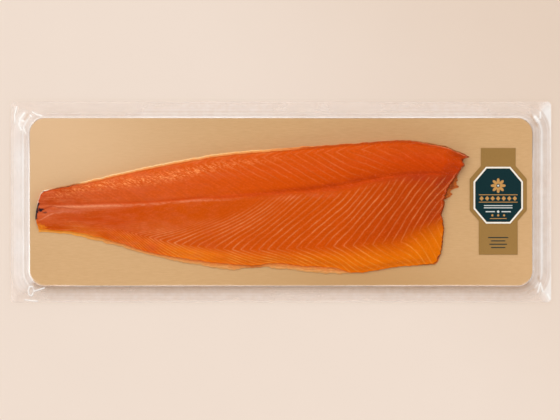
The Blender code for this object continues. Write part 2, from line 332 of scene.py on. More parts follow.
deselectAll()
bpy.ops.mesh.primitive_plane_add(size=8, location=(0, 0, -0.0003))
floor = bpy.context.object
floor.name = "floor"
floorPaper, inputs = newMaterial("floorPaper", Roughness=0.9, Specular_IOR_Level=0.1)
# painted shade: the paper darkens towards the far right corner
places = {0: result("TexCoord", output="Object"), 1: (0.8, 0.6, 0)}
farRight = result("VectorMath", places, "Value", operation="DOT_PRODUCT")
shadedPaper = blendColour(rise(farRight, 0.0, 0.42), shade(*studio["floor"]), shade(*studio["floorFarShaded"]))
feed(inputs["Base Color"], dimmed(shadedPaper, mottle(60.0, detail=3.0) * 0.02 + 0.99))
floor.data.materials.append(floorPaper)

deselectAll()
bpy.ops.object.light_add(type="SUN", location=(0, 0, 3))
softSun = bpy.context.object
softSun.data.angle = math.radians(studio["sunWidth"])
softSun.data.energy = studio["sunPower"]
softSun.data.color = studio["sunColour"]
softSun.rotation_euler = (-Vector(studio["sunFrom"])).to_track_quat("-Z", "Y").to_euler()

world = bpy.data.worlds.new("studioWorld")
bpy.context.scene.world = world
world.use_nodes = True
work["tree"] = world.node_tree
upward = split(result("TexCoord", output="Generated"))[2]
background = world.node_tree.nodes["Background"].inputs
feed(background["Color"], blendColour(rise(upward, 0.55, 0.9), studio["fillLow"], studio["fillTop"]))
feed(background["Strength"], studio["fill"])
bpy.context.scene.view_settings.view_transform = "Standard"
print("camera, floor and light made")


# the salmon's outline and thickness

fish = {
    "backEdge": [(-282, 14), (-261, 19), (-235, 24.5), (-191, 35), (-133, 47), (-68, 58), (2, 64),
                 (59, 68), (112, 71.6), (146, 73.4), (174, 70), (201, 63.5), (224, 54)],
    "midline": [(-291, -5), (-246, -5), (-177, -3), (-104, 1), (-66, 6), (-13, 8.5), (25, 10),
                (78, 18), (109, 24.5), (136, 29.5), (188, 32), (210, 33)],
    "bellyEdge": [(-288, -33), (-264, -35), (-246, -36.6), (-228, -40), (-192, -49), (-156, -60),
                  (-120, -66.4), (-85, -71.6), (-67, -73.4), (-31, -75.8), (-7, -73), (23, -76), (47, -77.4),
                  (70, -79.8), (84, -84.4), (100, -83.6), (142, -76.8), (183, -74.4)],
    "tailEnd": [(-1, -288), (-0.8, -291), (-0.5, -292), (0, -291), (0.4, -289), (0.8, -286), (1, -282)],
    "headEnd": [(-1, 183), (-0.95, 187), (-0.82, 192), (-0.6, 194.5), (-0.45, 192.5), (-0.3, 194.5),
                (-0.2, 198), (-0.12, 202.5), (0, 210), (0.25, 214), (0.5, 218), (0.85, 217.5), (1, 224)],
    "thicknessAlong": [(0, 8), (0.15, 11), (0.4, 17), (0.7, 22), (0.9, 23.5), (1, 22)],
    "thicknessAcross": [(-1, 0.17), (-0.85, 0.29), (-0.7, 0.38), (-0.4, 0.6), (-0.1, 0.81), (0, 0.82),
                        (0.06, 0.8), (0.15, 0.88), (0.45, 1), (0.8, 0.93), (0.93, 0.82), (1, 0.6)],
    "leastThickness": 2.4, "curlStart": 0.82, "curlShare": 0.33, "fleshBottom": 3.6, "skinBottom": 2.5,
    "columns": 480, "rows": 170, "shoulder": 3.5, "endRound": 2.4, "ragged": 0.45, "underside": 3.0,
    "teeth": 2.2, "headTaper": 24, "headDrop": 0.6, "flapReach": 10, "flapThin": 1.3,
    "backInset": [(-285, 1.0), (-190, 1.5), (-60, 1.4), (20, 1.0), (70, 0.5), (224, 0.3)],
}


def fishPlace(along, across):  # shares from tail 0 to head 1, and from belly -1 to back 1
    def endsAt(share):
        tail = curveAt(fish["tailEnd"], share)
        return tail, curveAt(fish["headEnd"], share) - tail
    tail, length = endsAt(across)
    midTail, midLength = endsAt(0.0)
    backTail, backLength = endsAt(1.0)
    bellyTail, bellyLength = endsAt(-1.0)
    inner = curveAt(fish["midline"], midTail + midLength * along)
    outer = np.where(across > 0, curveAt(fish["backEdge"], backTail + backLength * along),
                     curveAt(fish["bellyEdge"], bellyTail + bellyLength * along))
    return tail + length * along, inner + (outer - inner) * np.abs(across)


def fishThickness(along, across):
    full = curveAt(fish["thicknessAlong"], along) * curveAt(fish["thicknessAcross"], across)
    return np.maximum(full, fish["leastThickness"])


def fishCurl(along, across):  # the back rounds up off the board
    share = np.clip((across - fish["curlStart"]) / (1 - fish["curlStart"]), 0, 1)
    return fish["curlShare"] * curveAt(fish["thicknessAlong"], along) * share ** 2


def raggedEdge(x, y, along, across):  # small nicks and waves of the outline, which fade inwards
    side = np.exp(-(1 - np.abs(across)) * 10) * np.sign(across)
    end = np.exp(-np.minimum(along, 1 - along) * 60)
    rough, level = fish["ragged"], along * 0
    y = y + rough * side * (wander(x / 9, level, 11) + 0.6 * wander(x / 2.7, level, 12))
    x = x + rough * end * (wander(y / 6, level, 13) + 0.8 * wander(y / 2.1, level, 14))
    x = x + fish["teeth"] * end * (along > 0.5) * (0.4 - np.abs(wander(y / 2.6, level, 15)))
    return x, y


# the flesh: its flakes

flakes = {
    "lateralLine": [(-291, -4.6), (-250, -5.6), (-211, -4.6), (-180, -3.9), (-150, -2.4), (-97, 2), (-66, 3),
                    (-29, 5.8), (11, 10), (37, 11.1), (79, 14.5), (102, 21.5), (128, 27), (142, 30.5),
                    (215, 32)],
    "apexLine": [(-292, -18), (-232, -27), (-200, -31), (-163, -40.6), (-109, -52), (-36, -56.8), (62, -52.6),
                 (118, -50), (142, -47), (156, -39), (178, -28), (194, -23)],
    "upperReach": [(-240, 120), (-180, 115), (-109, 105), (-49, 82), (25, 76), (59, 69), (116, 58),
                   (150, 54)],
    "lowerReach": [(-232, 25), (-180, 30), (-150, 42), (-109, 60), (0, 52), (40, 56), (62, 50), (100, 45),
                   (143, 31), (178, 22)],
    "spacing": [(-232, 4.6), (-180, 4.9), (-150, 6.5), (-135, 8.4), (-109, 9.5), (-61, 10.6), (118, 11.4),
                (194, 10)],
    "straightness": [(-100, 0.55), (20, 0.8)],
    "backSpacing": 12.5, "backLean": 1.3, "backTurn": 0.84, "backReturn": 0.3,
    "lineHalf": 0.44, "relief": 0.1, "loose": 0.06,
    "armEnd": [(-150, 0.42), (-97, 0.53), (-60, 0.64), (-23, 0.86), (20, 1.15)],
    "armShare": [(-205, 0), (-175, 0.55), (-150, 0.85), (-100, 1.0), (40, 0.95), (120, 0.85), (200, 0.9)],
    "lowShare": [(-262, 0), (-238, 0.45), (-180, 0.75), (-120, 0.9), (0, 0.85), (60, 0.9), (130, 0.78),
                 (195, 0.65)],
    "backShare": [(-150, 0), (-120, 0.3), (-60, 0.36), (60, 0.42), (110, 0.34), (135, 0.2), (160, 0.1),
                  (224, 0.05)],
    "backStart": [(-150, 0.5), (-40, 0.3), (20, 0.12)],
}


def lateralAt(x):
    return curveAt(flakes["lateralLine"], x)


def apexAt(x):
    return curveAt(flakes["apexLine"], x)


def bellyFlakes(x, y):  # counts the flakes from the tail: a flake's edge is where this is a whole number
    lateral, apex = lateralAt(x), apexAt(x)
    up = np.clip((y - apex) / (lateral - apex), 0, 1.1)
    down = np.clip((apex - y) / np.maximum(apex - curveAt(fish["bellyEdge"], x), 4), 0, 1.2)
    straight = curveAt(flakes["straightness"], x)
    upShape = straight * up + (1 - straight) * up * up * (3 - 2 * up)
    downShape = np.sqrt(down ** 2 + 0.0004) - 0.02
    start = x
    for step in range(8):
        upper, lower = curveAt(flakes["upperReach"], start), curveAt(flakes["lowerReach"], start)
        start = x - upper * upShape - lower * downShape
    places = np.arange(-450, 260, 1.0)
    return np.interp(start, places, np.cumsum(1 / curveAt(flakes["spacing"], places)))


def backFlakes(x, y):
    lateral = lateralAt(x)
    reach = curveAt(fish["backEdge"], x) - lateral
    share = (y - lateral) / reach
    turn = flakes["backTurn"]
    lean = np.where(share < turn, share / turn, 1 - flakes["backReturn"] * (share - turn) / (1 - turn))
    return (x + flakes["backLean"] * reach * lean) / flakes["backSpacing"]


def flakeField(x, y):  # the flake count, and half a line's width in flakes
    def count(px, py):
        return np.where(py < lateralAt(px), bellyFlakes(px, py), backFlakes(px, py))
    plain = count(x, y)
    slope = np.hypot(count(x + 0.5, y) - plain, count(x, y + 0.5) - plain) / 0.5
    loose = flakes["loose"] * (1.2 * wander(x / 16, y / 16, 21) + 0.6 * wander(x / 5, y / 5, 22))
    return plain + loose, flakes["lineHalf"] * np.minimum(slope, 0.6)


def lineShare(x, y, count):  # how clearly the pale line between two flakes shows
    lateral, apex = lateralAt(x), apexAt(x)
    up = (y - apex) / (lateral - apex)
    armEnd = curveAt(flakes["armEnd"], x)
    softEnd = 0.13 + 0.15 * smooth(-80, -140, x)
    upper = curveAt(flakes["armShare"], x) * smooth(armEnd + softEnd, armEnd - softEnd, up)
    upper = upper * smooth(0.5, 5, lateral - y)
    lower = curveAt(flakes["lowShare"], x)
    belly = np.where(y > apex, upper, lower)
    belly = belly + (lower - upper) * hump(y - apex, 0, 1.5) * 0.5 * np.sign(y - apex)
    # the points are lost in the middle and soft towards the head
    blurred = hump(y - apex, -1, 6) * (smooth(0, 14, x) * smooth(66, 48, x) + 0.85 * smooth(85, 125, x))
    belly = belly * (1 - 0.7 * blurred)
    share = (y - lateral) / (curveAt(fish["backEdge"], x) - lateral)
    start = curveAt(flakes["backStart"], x)
    back = curveAt(flakes["backShare"], x) * smooth(start, start + 0.25, share) * smooth(1.0, 0.9, share)
    single = np.random.default_rng(23).uniform(0.6, 0.95, 512)[np.round(count).astype(int) % 512]
    patches = 0.62 + 0.38 * wander(x / 14 + 40, y / 14 + 40, 24)
    crumbs = 0.85 + 0.3 * wander(x / 3 + 40, y / 3 + 40, 25)
    return np.clip(np.where(y < lateral, belly, back) * single * patches * crumbs * 1.25, 0, 1)


zones = {  # colour zones of the flesh, their places and widths in millimetres
    "lowStart": [(60, 2), (90, 5), (118, 10), (148, 12), (171, 7), (196, 7)],
    "lowEnd": [(-290, -9), (-100, -9), (0, -16), (60, -18), (118, -19), (148, -24), (171, -27), (183, -24),
               (196, -18)],
    "bandMiddle": [(-100, 3), (22, 4), (80, 8.5), (130, 3), (165, -3), (200, -5)],
    "bandWidth": [(-100, 1.8), (22, 4), (80, 5.5), (130, 6), (165, 8), (200, 8)],
    "bandShare": [(-170, 0), (-100, 0.35), (-37, 0.6), (0, 0.65), (60, 0.85), (220, 0.9)],
    "shineGap": [(-265, 9), (-216, 10), (-150, 16), (-115, 16.5), (-80, 14.5), (-20, 12.5), (10, 12)],
    "shineWidth": [(-265, 5.5), (-216, 6), (-150, 6.5), (-80, 5.5), (-20, 4), (10, 3)],
    "shineShare": [(-282, 0), (-262, 0.5), (-216, 0.9), (-110, 1), (-60, 0.7), (-20, 0.35), (20, 0)],
    "shoulderGlintGap": 3.6, "shoulderGlintWidth": 0.75, "pinkBand": -3.5, "pinkWidth": 3.5,
    "groove": [(-285.3, -9.6), (-280, -7.4), (-274, -5.9), (-261, -6.9), (-251, -7.8), (-230, -8)],
    "ridge": [(-289, -22), (-279, -17.1), (-270, -13.6), (-261, -12.3), (-245, -12)],
    "trough": [(-268, -18.4), (-249, -19), (-222, -20.9), (-186, -24.6)],
    "underPale": [(-281, -11.2), (-250, -11.2), (-223, -9.8)],
    "blackPatch": (-286.6, -9.4, 3.4, 2.1), "blackSmear": (-281.5, -12.6, 2.6, 1.1),
    "blackStrip": (-20.5, -1.2, 2.0), "corner": (-287, -30.5, 6, 4),
}


def paintZones(piece, x, y, sideGap, endGap):
    lateral, apex = lateralAt(x), apexAt(x)
    onBack = y > lateral

    def at(name):
        return curveAt(zones[name], x)

    down = np.clip((y - apex - at("lowStart")) / (at("lowEnd") - at("lowStart")), 0, 1)
    soft, quick = smooth(0, 1, down), 1 - (1 - down) ** 2  # at the head it turns orange sooner
    addField(piece, "low", (soft + 0.75 * (quick - soft) * smooth(125, 180, x)) * (y < lateral))
    addField(piece, "band", hump(y - lateral, at("bandMiddle"), at("bandWidth")) * at("bandShare"))
    pink = hump(y - lateral, zones["pinkBand"], zones["pinkWidth"]) * smooth(-30, 10, x) * smooth(88, 45, x)
    addField(piece, "pink", pink)
    addField(piece, "shine", hump(sideGap, at("shineGap"), at("shineWidth")) * at("shineShare") * onBack)
    # a painted highlight: a pale line along the back's shoulder, where the film over it catches the light
    shoulderGlint = hump(sideGap, zones["shoulderGlintGap"], zones["shoulderGlintWidth"]) * smooth(-150, -125, x) * smooth(10, -25, x)
    addField(piece, "shoulderGlint", shoulderGlint * onBack * (0.6 + 0.4 * wander(x / 8, y * 0, 26)))

    def line(name, width, fadeFrom, fadeTo):
        middle = at(name) + 0.5 * wander(x / 5, y * 0, 28)
        return hump(y, middle, width * (1 + 0.4 * wander(x / 6, y * 0, 29))) * smooth(fadeTo, fadeFrom, x)

    def spot(name):
        cx, cy, rx, ry = zones[name]
        rough = 0.45 * wander(x / 1.1, y / 1.1, 27)
        return smooth(1.3, 0.65, np.hypot((x - cx) / rx, (y - cy) / ry) + rough)

    low, high, reach = zones["blackStrip"]
    strip = smooth(reach + 0.6, reach - 0.6, endGap + 0.7 * wander(y / 2, x * 0, 30)) * (x < -200)
    strip = strip * smooth(low - 1, low + 1, y) * smooth(high + 1, high - 1, y)
    addField(piece, "groove", line("groove", 0.8, -262, -232))
    addField(piece, "ridge", line("ridge", 0.75, -274, -246) * smooth(-291, -287, x))
    addField(piece, "trough", line("trough", 2.4, -200, -160) * smooth(-276, -262, x))
    addField(piece, "underPale", line("underPale", 1.7, -250, -222) * smooth(-284, -276, x))
    addField(piece, "black", np.maximum(np.maximum(spot("blackPatch"), 0.6 * spot("blackSmear")), strip))
    addField(piece, "corner", spot("corner"))


def buildFlesh():
    piece = addFlatGrid("smokedFlesh", fish["columns"], fish["rows"])
    shrinks = [1, 1, 0.985, 0.93, 0.8, 0.55, 0.3]  # the underside's rings, as shares of the outline
    drawUnder(len(shrinks) - 1)
    u, v, ring = corners(piece)
    ring = np.round(-ring).astype(int)
    along, across = 0.5 + 0.5 * u * (1.1 - 0.1 * u * u), v * (1.25 - 0.25 * v * v)
    shrink = np.array(shrinks)[ring]
    along, across = 0.5 + (along - 0.5) * shrink, across * shrink
    x, y = fishPlace(along, across)
    y = y - curveAt(fish["backInset"], x) * smooth(0.6, 1, across)
    x, y = raggedEdge(x, y, along, across)
    base = fish["fleshBottom"] + rimLift(x, y)
    top = fishThickness(along, across)
    middle = curveAt(fish["midline"], x)
    edgeY = np.where(across > 0, curveAt(fish["backEdge"], x), curveAt(fish["bellyEdge"], x))
    sideGap = (1 - np.abs(across)) * np.abs(edgeY - middle)
    length = curveAt(fish["headEnd"], across) - curveAt(fish["tailEnd"], across)
    endGap = np.minimum(along, 1 - along) * length

    def rounded(gap, radius):
        inside = np.clip(radius - gap, 0, radius)
        return radius - np.sqrt(radius ** 2 - inside ** 2)

    wall = top - fishCurl(along, across)
    sideRadius = np.minimum(fish["shoulder"], 0.55 * wall)
    drop = rounded(sideGap, sideRadius) + rounded(endGap, np.minimum(fish["endRound"], 0.4 * wall))
    taper = np.where(along > 0.5, smooth(fish["headTaper"], 0, endGap), 0)
    drop = drop + fish["headDrop"] * wall * taper
    flap = np.where(across < 0, smooth(fish["flapReach"], 0, sideGap), 0) ** 1.5  # the belly thins outwards
    wallTop = np.maximum(wall - np.minimum(drop, 0.8 * wall), 0)
    wallTop = wallTop + (np.minimum(wallTop, fish["flapThin"] - 0.6) - wallTop) * flap
    count, lineWidth = flakeField(x, y)
    belly = np.sqrt(np.abs(np.sin(np.pi * count)) + 0.02) - 0.6
    calm = smooth(0, 6, sideGap) * smooth(0, 4, endGap) * smooth(0, 3, np.abs(y - middle))
    relief = flakes["relief"] * belly * calm * smooth(0.04, 0.4, along)
    relief = relief + 0.1 * wander(x / 22, y / 9, 31) * calm
    bottom = base - fish["fleshBottom"] + fish["underside"] + fishCurl(along, across)
    z = np.where(ring == 0, base + fishCurl(along, across) + wallTop + relief, bottom)
    setCorners(piece, x, y, z)
    setMap(piece, along, 0.5 + across / 2)
    addField(piece, "flake", count)
    addField(piece, "lineWidth", lineWidth)
    addField(piece, "lines", lineShare(x, y, count))
    addField(piece, "lateral", y - lateralAt(x))
    addField(piece, "edge", np.minimum(sideGap, endGap))
    paintZones(piece, x, y, sideGap, endGap)
    closeUp(piece, 50)
    return piece


fleshLook = {
    "shoulder": [(0.05, (188, 68, 14)), (0.13, (216, 90, 27)), (0.2, (221, 92, 26)), (0.38, (214, 82, 4)),
                 (0.74, (209, 78, 2)), (1.0, (197, 67, 4))],
    "back": [(0.0, (182, 66, 18)), (0.13, (207, 86, 35)), (0.29, (213, 86, 27)), (0.5, (215, 81, 9)),
             (0.74, (208, 74, 6)), (1.0, (202, 64, 6))],
    "middle": [(0.0, (206, 92, 46)), (0.12, (200, 78, 23)), (0.2, (202, 75, 14)), (0.35, (206, 81, 9)),
               (0.74, (206, 78, 6)), (0.86, (192, 68, 6)), (1.0, (184, 63, 9))],
    "low": [(0.05, (198, 74, 6)), (0.12, (210, 82, 6)), (0.2, (210, 77, 2)), (0.29, (218, 83, 2)),
            (0.38, (237, 117, 14)), (0.5, (223, 99, 5)), (1.0, (228, 113, 5))],
    "band": (188, 60, 8), "headBand": (179, 55, 17), "pinkBand": (218, 104, 66), "streak": (236, 146, 104),
    "flakeLine": (232, 136, 80), "lowLine": (244, 150, 56), "glare": (252, 156, 90), "shoulderGlint": (236, 130, 62),
    "fibres": (224, 120, 74), "cream": (246, 166, 92), "headEdge": (120, 58, 22), "groove": (168, 52, 12),
    "ridge": (236, 146, 106), "trough": (198, 66, 6), "black": (46, 34, 40), "yellowEdge": (236, 148, 26),
    "underPale": (214, 108, 76), "corner": (238, 140, 30), "edgeSpots": (110, 62, 34),
    "headRim": (150, 52, 16), "rosy": (216, 98, 58),
}


def flakeNoise(u, v, detail, distortion=0.0):  # noise that runs with the flakes
    place = result("CombineXYZ", {"X": u, "Y": v})
    inputs = {"Vector": place, "Scale": 1.0, "Detail": detail, "Distortion": distortion}
    return result("TexNoise", inputs, "Fac")


def makeFlesh():
    material, inputs = newMaterial("smokedFlesh", Specular_IOR_Level=0.02, Coat_Roughness=0.18)
    look = fleshLook
    along, across = fishMap()
    lateral, edge, count, low, strength = map(field, ("lateral", "edge", "flake", "low", "lines"))
    onBack = rise(lateral, -0.5, 1.5)
    parts = ("middle", "low", "back", "shoulder")
    middle, lowest, back, shoulder = (colourRamp(along, look[part]) for part in parts)

    # broad colour, from tail to head in four zones
    colour = blendColour(onBack, blendColour(low, middle, lowest),
                         blendColour(rise(across, 0.72, 0.9), back, shoulder))
    band = blendColour(rise(along, 0.84, 0.92), shade(*look["band"]), shade(*look["headBand"]))
    uneven = mottle(7.0, (2.5, 1, 1), 3.0)
    colour = blendColour(field("band") * rise(uneven, 0.2, 0.6), colour, band)

    # fibres run with the flakes, and crumbs lie on them
    fine = mottle(1.9, (1.5, 1, 1), 4.0)
    crumbs = rise(fine, 0.35, 0.65)
    fibre = rise(flakeNoise(count * 3.6, lateral * 0.07, 3.0), 0.3, 0.7)
    threads = rise(mottle(1.6, (12, 1, 1), 3.0), 0.48, 0.7)
    rosy = rise(mottle(9.0, (2, 1, 1), 3.0), 0.4, 0.7)
    colour = layered(look, colour, ("pinkBand", field("pink") * rise(uneven, 0.35, 0.65) * 0.32),
                     ("fibres", rise(fine, 0.5, 0.78) * (fibre * 0.6 + 0.4) * 0.2),
                     ("fibres", threads * rise(along, 0.26, 0.05) * 0.45),
                     ("rosy", rosy * rise(along, 0.62, 0.2) * 0.34))

    # pale fat lines between the flakes
    jagged = (mottle(1.7, detail=3.0) - 0.5) * 0.2
    away = maths("ABSOLUTE", maths("FRACT", count + jagged + 0.5) - 0.5)
    widths = away / maths("MAXIMUM", field("lineWidth"), 0.005) * (fine * 0.9 + 0.55)
    core, halo = rise(widths, 1.5, 0.35), rise(widths, 4.5, 0.5)
    lineColour = blendColour(low, shade(*look["flakeLine"]), shade(*look["lowLine"]))
    colour = blendColour((core * 0.72 + halo * 0.3) * strength, colour, lineColour)

    # the pale streak on the lateral line with a dark line over it, the mottled painted shine along the back,
    # and a painted highlight line along the back's shoulder
    tailHalf = rise(along, 0.54, 0.36) * rise(along, 0.02, 0.035)
    crisp = rise(along, 0.24, 0.15) * rise(along, 0.03, 0.08)
    streakShare = crisp * 0.22 + rise(mottle(3.0, (2, 0.8, 1), 4.0), 0.34, 0.66) * 0.46 + 0.06
    glints = rise(flakeNoise(count * 5.6, lateral * 0.26, 4.0, 0.9), 0.44, 0.57) * (crumbs + 0.15)
    colour = layered(look, colour, ("trough", bell(lateral, 3.0, 1.3) * tailHalf * 0.55),
                     ("streak", bell(lateral, -1.2, 3.2) * crisp * 0.32),
                     ("streak", bell(lateral + (uneven * 1.6 - 0.8), 0.0, 1.45) * tailHalf * streakShare),
                     ("streak", bell(lateral, 0.0, 0.55) * crisp * (crumbs * 0.45 + 0.15)),
                     ("glare", glints * field("shine") * 0.75), ("shoulderGlint", field("shoulderGlint") * 0.55))

    # marks at the tail
    marks = {"trough": 0.6, "underPale": 0.7, "groove": 0.8, "ridge": 0.7, "corner": 0.7}
    for name, share in marks.items():
        colour = layered(look, colour, (name, field(name) * (crumbs * 0.4 + 0.6) * share))

    # the rim: painted shade inside the edge then cream at the back, yellow at the tail's belly, brown at the
    # head end
    shadow = (rise(edge, 5.0, 1.5) * 0.2 + rise(edge, 14.0, 4.0) * 0.03) * onBack
    colour = dimmed(colour, 1.0 - shadow * rise(along, 0.95, 0.85) * rise(along, 0.03, 0.12))
    creamReach = rise(along, 0.64, 0.55) * rise(along, 0.065, 0.1)
    headward = rise(along, 0.955, 0.975)
    upper = headward * rise(across, 0.3, 0.36)
    backEnd = rise(along, 0.84, 0.9) * onBack * crumbs
    yellowReach = rise(lateral, -6.0, -12.0) * rise(along, 0.24, 0.1)
    spotReach = bell(along, 0.05, 0.03) * onBack * (crumbs + 0.25)
    colour = layered(look, colour, ("cream", rise(edge, 2.6, 0.3) * onBack * creamReach * 0.85),
                     ("yellowEdge", rise(edge, 1.4, 0.2) * yellowReach * 0.55),
                     ("headRim", rise(edge, 2.4, 1.0) * upper * 0.55),
                     ("streak", bell(edge, 3.0, 0.5) * upper * rise(across, 0.66, 0.58) * crumbs * 0.6),
                     ("headEdge", rise(edge, 1.1, 0.2) * headward * rise(across, 0.98, 0.95) * 0.8),
                     ("headRim", bell(edge, 2.2, 0.8) * backEnd * 0.45),
                     ("streak", rise(edge, 1.2, 0.4) * backEnd * 0.7),
                     ("edgeSpots", rise(edge, 2.4, 0.9) * spotReach * 0.7),
                     ("black", field("black")))
    setSurface(inputs, dimmed(colour, fine * 0.27 + fibre * 0.1 + 0.82), fine * 0.25 + 0.3,
               fine * 0.6 - core * strength * 0.25, 0.4, 0.3)
    feed(inputs["Coat Weight"], crumbs * 0.035)
    return material


flesh = buildFlesh()
dress(flesh, makeFlesh(), "salmon_flesh")
print("flesh made:", len(flesh.data.polygons), "faces")


# the skin under the flesh

skin = {
    "columns": 300, "thickness": 0.45, "closeness": 0.3, "endLip": 1.0,
    "scraps": [(9, 17.5, 4.0), (7.5, 8.5, 3.0), (4, 25, 5)],  # how far out, where up the head end, how wide
    "lip": [(-288, 3), (-264, 2.6), (-246, 3.4), (-228, 4.4), (-192, 4.4), (-156, 3.5), (-120, 4.8),
            (-85, 6.6), (-67, 7), (-49, 5.2), (-31, 2.7), (-19, 4), (-7, 6.4), (23, 6.8), (47, 8), (70, 6),
            (80, 1.8), (86, 0.7), (185, 0.6)],
    "wallGap": [(-285, 0.4), (-150, 0.5), (0, 0.5), (30, 0.4), (60, 0.2), (150, 0.3), (175, 0.9), (205, 1.1),
                (224, 0.5)],
    "lipShares": [1, 0.85, 0.7, 0.55, 0.4, 0.25, 0.12],
    "acrossRows": [*[-1] * 8, -0.97, -0.9, -0.81, -0.7, -0.6, -0.45, -0.34, -0.31, -0.285, -0.265, -0.25,
                   -0.235, -0.22, -0.205, -0.19, -0.175, -0.16, -0.145, -0.13, -0.115, -0.1, -0.085, -0.07,
                   -0.05, -0.02, 0, 0.15, 0.38, 0.5, 0.6, 0.7, 0.82, 0.88, 0.93, 0.97, 1, 1, 1, 1]}


def buildSkin():
    rows = skin["acrossRows"]
    last = len(rows) - 1
    piece = addFlatGrid("salmonSkin", skin["columns"], last)
    u, v = corners(piece)[:2]
    along, row = (u + 1) / 2, np.round((v + 1) / 2 * last).astype(int)
    across = np.array(rows, float)[row]
    x, y = fishPlace(along, across)
    x, y = raggedEdge(x, y, along, across)
    shares = np.array(skin["lipShares"])  # the first rows are the thin lip at the belly
    out = np.where(row < len(shares), shares[np.minimum(row, len(shares) - 1)], 0)
    reach = curveAt(skin["lip"], x)
    y = y - out * reach * (1 + 0.12 * wander(x / 5, row * 0, 41) + 0.08 * wander(x / 1.8, row * 0, 42))
    scrap = sum(far * hump(y, middle, width) for far, middle, width in skin["scraps"])
    scrap = scrap * (1 + 0.22 * wander(y / 2, row * 0, 43))
    x = x + np.where(along == 1, skin["endLip"] + scrap, 0) - np.where(along == 0, skin["endLip"], 0)
    wall = np.clip((row - (last - 3)) / 3, 0, 1)  # the last three rows climb the fish's back
    gap = curveAt(skin["wallGap"], x) * (1 + 0.5 * wander(x / 4, row * 0, 44))
    lean = (gap + curveAt(fish["backInset"], x) - skin["closeness"]) * wall ** 2 * smooth(120, 60, x)
    y = y + np.where(row > last - 3, gap - lean, 0)
    low = fish["skinBottom"] + rimLift(x, y) + fishCurl(along, across)
    high = fish["fleshBottom"] + rimLift(x, y) + fishThickness(along, 1.0) * 0.62 - 0.6
    z = low + np.maximum(high - low, 0) * wall
    curled = 0.35 * np.maximum(wander(x / 14, y / 3, 45), 0) * out * smooth(2, 5, reach)
    setCorners(piece, x, y, z + curled)
    setMap(piece, along, (0.5 + across / 2) * 0.8 + 0.1 - out * 0.1 + wall * 0.1)
    pick(piece)
    sheet = piece.modifiers.new("sheet", "SOLIDIFY")
    sheet.thickness, sheet.offset = skin["thickness"] * mm, 1
    bpy.ops.object.modifier_apply(modifier="sheet")
    closeUp(piece, 50)
    return piece


skinLook = {
    "lip": [(0.0, (214, 156, 94)), (0.12, (204, 138, 70)), (0.3, (232, 160, 94)), (0.45, (210, 128, 58)),
            (0.6, (228, 146, 74)), (0.76, (202, 108, 34)), (0.9, (236, 142, 66)), (1.0, (216, 104, 24))],
    "back": [(0.0, (242, 214, 170)), (0.028, (190, 140, 92)), (0.068, (182, 130, 84)),
             (0.09, (246, 210, 154)), (0.3, (246, 204, 144)), (0.5, (242, 190, 122)), (0.58, (226, 134, 66)),
             (0.8, (205, 96, 40)), (0.88, (206, 146, 84)), (0.97, (178, 116, 56))],
    "under": (190, 170, 150), "tailBlack": (46, 38, 36), "headBrown": (164, 74, 20), "dark": (84, 48, 22),
    "scrap": (208, 108, 32), "amber": (238, 152, 76), "tailLip": (240, 160, 56), "brownLip": (190, 98, 26),
    "cream": (244, 228, 204),
}


def makeSkin():
    material, inputs = newMaterial("salmonSkin", Specular_IOR_Level=0.2)
    look = skinLook
    along, across = fishMap()
    fine = mottle(2.2, (2, 1, 1), 4.0)
    layer = across * 10.0 + (mottle(5.0, (3, 1, 1), 3.0) - 0.5) * 0.8  # 0 at the lip's rim, 1 at the flesh
    belly = layered(look, colourRamp(layer, look["lip"]), ("brownLip", bell(along, 0.545, 0.03) * 0.85),
                    ("tailLip", rise(along, 0.2, 0.08) * 0.8), ("under", rise(across, 0.12, 0.16)))
    back = layered(look, colourRamp(along, look["back"]), ("amber", rise(fine, 0.5, 0.62) * 0.5))
    onBack = rise(across, 0.6, 0.8)
    flecks = rise(mottle(1.3, (2.5, 1, 1), 3.0), 0.56, 0.66)
    headward = rise(along, 0.86, 0.93) * onBack
    colour = layered(look, blendColour(onBack, belly, back), ("dark", flecks * (headward * 0.65 + 0.12)))
    scrapShare = bell(across, 0.42, 0.09) * rise(fine, 0.3, 0.6)
    endColour = layered(look, shade(*look["headBrown"]), ("scrap", scrapShare))
    colour = blendColour(rise(along, 0.975, 0.99) * rise(across, 0.11, 0.14), colour, endColour)
    tail = rise(along, 0.012, 0.004)
    colour = layered(look, colour, ("cream", tail * rise(across, 0.52, 0.56)),
                     ("tailBlack", tail * rise(across, 0.25, 0.28) * rise(across, 0.5, 0.46)))
    setSurface(inputs, dimmed(colour, fine * 0.4 + 0.8), fine * 0.25 + 0.4, fine, 0.4, 0.2)
    return material


skinPiece = buildSkin()
dress(skinPiece, makeSkin(), "salmon_skin")
print("skin made:", len(skinPiece.data.polygons), "faces")


# the clear film round everything

